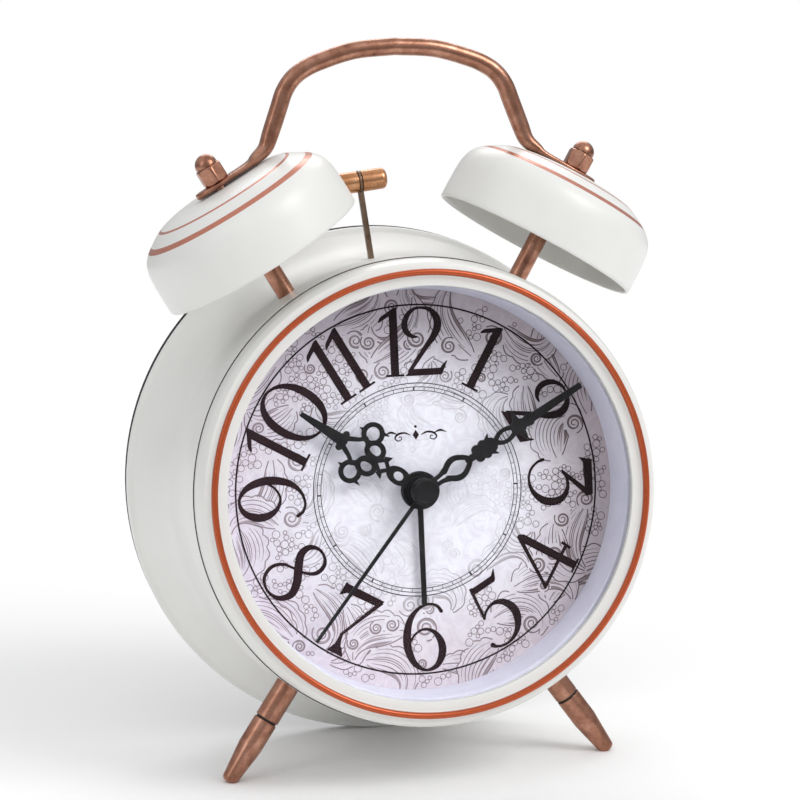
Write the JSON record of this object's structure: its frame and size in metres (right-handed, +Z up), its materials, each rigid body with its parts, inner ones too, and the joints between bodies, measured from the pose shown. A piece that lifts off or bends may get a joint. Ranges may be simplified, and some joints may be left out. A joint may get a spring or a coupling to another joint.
{
  "type": "alarm clock",
  "caption": "Round twin-bell quartz alarm clock with a swinging hammer, carrying handle, two legs, set hands and a battery-powered back.",
  "frame": {"origin": "middle of the bounding box on the surface the clock stands on", "axes": "+Z up, +Y towards the back, +X to the right seen from the front; the dial leans back 6.9 degrees"},
  "size_m": [0.1226, 0.0768, 0.1686],
  "materials": {
    "case_paint": "satin warm white enamel",
    "copper_paint": "gloss copper-orange enamel line",
    "antique_copper": "antique copper plating, satin with dark creases",
    "clear_lens": "clear, flat",
    "dial_print": "pale lilac print with scrolls and numerals",
    "white_plastic": "smooth white moulding",
    "hand_paint": "satin black paint on sheet",
    "black_plastic": "fine-textured black moulding",
    "steel": "bright zinc plating",
    "motor_can": "plated motor can",
    "brass": "bright",
    "wheel_plastic": "natural acetal",
    "coil_wire": "enamelled copper winding",
    "board": "green solder mask",
    "battery_sleeve": "plain dark sleeve, bright ends",
    "lamp": "clear epoxy lamp"
  },
  "bodies": {
    "clock_body": {"back_cover": "black_plastic", "backlight_lamp": "lamp", "bezel": "case_paint", "case_shell": "case_paint", "chassis": "black_plastic", "circuit_board": "board", "coil": "coil_wire", "copper_ring": "copper_paint", "cover_screw_1": "steel", "cover_screw_2": "steel", "cover_screw_3": "steel", "dial": "dial_print", "hammer_motor": "motor_can", "hammer_pivot_pin": "steel", "handle": "antique_copper", "inner_ring": "white_plastic", "left_acorn_nut": "antique_copper", "left_bell": "case_paint", "left_bell_post": "antique_copper", "left_leg": "antique_copper", "left_leg_nut": "steel", "left_post_nut": "steel", "lens": "clear_lens", "light_button_spring": "steel", "lower_battery": "battery_sleeve", "lower_battery_spring": "steel", "motor_bracket": "steel", "movement_cover": "white_plastic", "movement_housing": "white_plastic", "right_acorn_nut": "antique_copper", "right_bell": "case_paint", "right_bell_post": "antique_copper", "right_leg": "antique_copper", "right_leg_nut": "steel", "right_post_nut": "steel", "stator": "steel", "upper_battery": "battery_sleeve", "upper_battery_spring": "steel"},
    "second_train": {"second_wheel": "wheel_plastic", "second_hand": "hand_paint"},
    "third_wheel_arbor": {"third_wheel": "wheel_plastic"},
    "centre_wheel_ring": {"centre_wheel": "brass"},
    "relay_wheel_arbor": {"relay_wheel": "wheel_plastic"},
    "rotor_arbor": {"rotor": "steel"},
    "minute_train": {"cannon_pinion": "brass", "minute_hand": "hand_paint"},
    "motion_train": {"motion_wheel": "wheel_plastic", "time_set_knob": "black_plastic"},
    "hour_train": {"hour_wheel": "wheel_plastic", "hour_hand": "hand_paint"},
    "alarm_train": {"alarm_wheel": "wheel_plastic", "alarm_hand": "hand_paint"},
    "alarm_setting": {"alarm_set_pinion": "wheel_plastic", "alarm_set_knob": "black_plastic"},
    "hammer": {"hammer_arm": "antique_copper", "hammer_head": "antique_copper"},
    "motor_shaft": {"motor_crank": "wheel_plastic"},
    "light_push": {"light_button": "black_plastic"},
    "alarm_slide": {"alarm_switch": "black_plastic"},
    "door": {"battery_door": "black_plastic"}
  },
  "joints": [
    {"name": "second_hand_turn", "type": "hinge", "parent": "clock_body", "child": "second_train", "pos_m": [0, -0.03165, 0.06793], "axis": [0, 0.9928, -0.1201], "continuous": true},
    {"name": "third_wheel_turn", "type": "hinge", "parent": "clock_body", "child": "third_wheel_arbor", "pos_m": [-0.00803, -0.03252, 0.06076], "axis": [0, 0.9928, -0.1201], "continuous": true},
    {"name": "centre_wheel_turn", "type": "hinge", "parent": "clock_body", "child": "centre_wheel_ring", "pos_m": [0, -0.03165, 0.06793], "axis": [0, 0.9928, -0.1201], "continuous": true},
    {"name": "relay_wheel_turn", "type": "hinge", "parent": "clock_body", "child": "relay_wheel_arbor", "pos_m": [0.00694, -0.03264, 0.05972], "axis": [0, 0.9928, -0.1201], "continuous": true},
    {"name": "rotor_turn", "type": "hinge", "parent": "clock_body", "child": "rotor_arbor", "pos_m": [0.01425, -0.0329, 0.05764], "axis": [0, 0.9928, -0.1201], "continuous": true},
    {"name": "minute_hand_turn", "type": "hinge", "parent": "clock_body", "child": "minute_train", "pos_m": [0, -0.03165, 0.06793], "axis": [0, 0.9928, -0.1201], "continuous": true},
    {"name": "motion_wheel_turn", "type": "hinge", "parent": "clock_body", "child": "motion_train", "pos_m": [0.01039, -0.03093, 0.07389], "axis": [0, 0.9928, -0.1201], "continuous": true},
    {"name": "hour_hand_turn", "type": "hinge", "parent": "clock_body", "child": "hour_train", "pos_m": [0, -0.03165, 0.06793], "axis": [0, 0.9928, -0.1201], "continuous": true},
    {"name": "alarm_hand_turn", "type": "hinge", "parent": "clock_body", "child": "alarm_train", "pos_m": [0, -0.03165, 0.06793], "axis": [0, 0.9928, -0.1201], "continuous": true},
    {"name": "alarm_knob_turn", "type": "hinge", "parent": "clock_body", "child": "alarm_setting", "pos_m": [-0.01299, -0.03075, 0.07538], "axis": [0, 0.9928, -0.1201], "continuous": true},
    {"name": "hammer_swing", "type": "hinge", "parent": "clock_body", "child": "hammer", "pos_m": [0, -0.02925, 0.08779], "axis": [0, 0.9928, -0.1201], "range_deg": [-2.8, 15.8]},
    {"name": "motor_crank_turn", "type": "hinge", "parent": "clock_body", "child": "motor_shaft", "pos_m": [0, -0.0278, 0.0997], "axis": [0, 0.9928, -0.1201], "continuous": true},
    {"name": "light_button_press", "type": "slide", "parent": "clock_body", "child": "light_push", "axis": [0, -0.9928, 0.1201], "range_m": [0, 0.0012], "stiffness_N_per_m": 600, "deforming": ["light_button_spring"]},
    {"name": "alarm_switch_slide", "type": "slide", "parent": "clock_body", "child": "alarm_slide", "axis": [1, 0, 0], "range_m": [0, 0.004]},
    {"name": "battery_door_pull", "type": "slide", "parent": "clock_body", "child": "door", "axis": [0, 0.9928, -0.1201], "range_m": [0, 0.03]}
  ],
  "couplings": [
    {"joint": "third_wheel_turn", "follows": "second_hand_turn", "ratio": -0.13333},
    {"joint": "centre_wheel_turn", "follows": "second_hand_turn", "ratio": 0.016667},
    {"joint": "relay_wheel_turn", "follows": "second_hand_turn", "ratio": -8},
    {"joint": "rotor_turn", "follows": "second_hand_turn", "ratio": 30},
    {"joint": "motion_wheel_turn", "follows": "minute_hand_turn", "ratio": -0.33333},
    {"joint": "hour_hand_turn", "follows": "minute_hand_turn", "ratio": 0.083333},
    {"joint": "alarm_knob_turn", "follows": "alarm_hand_turn", "ratio": -2}
  ]
}
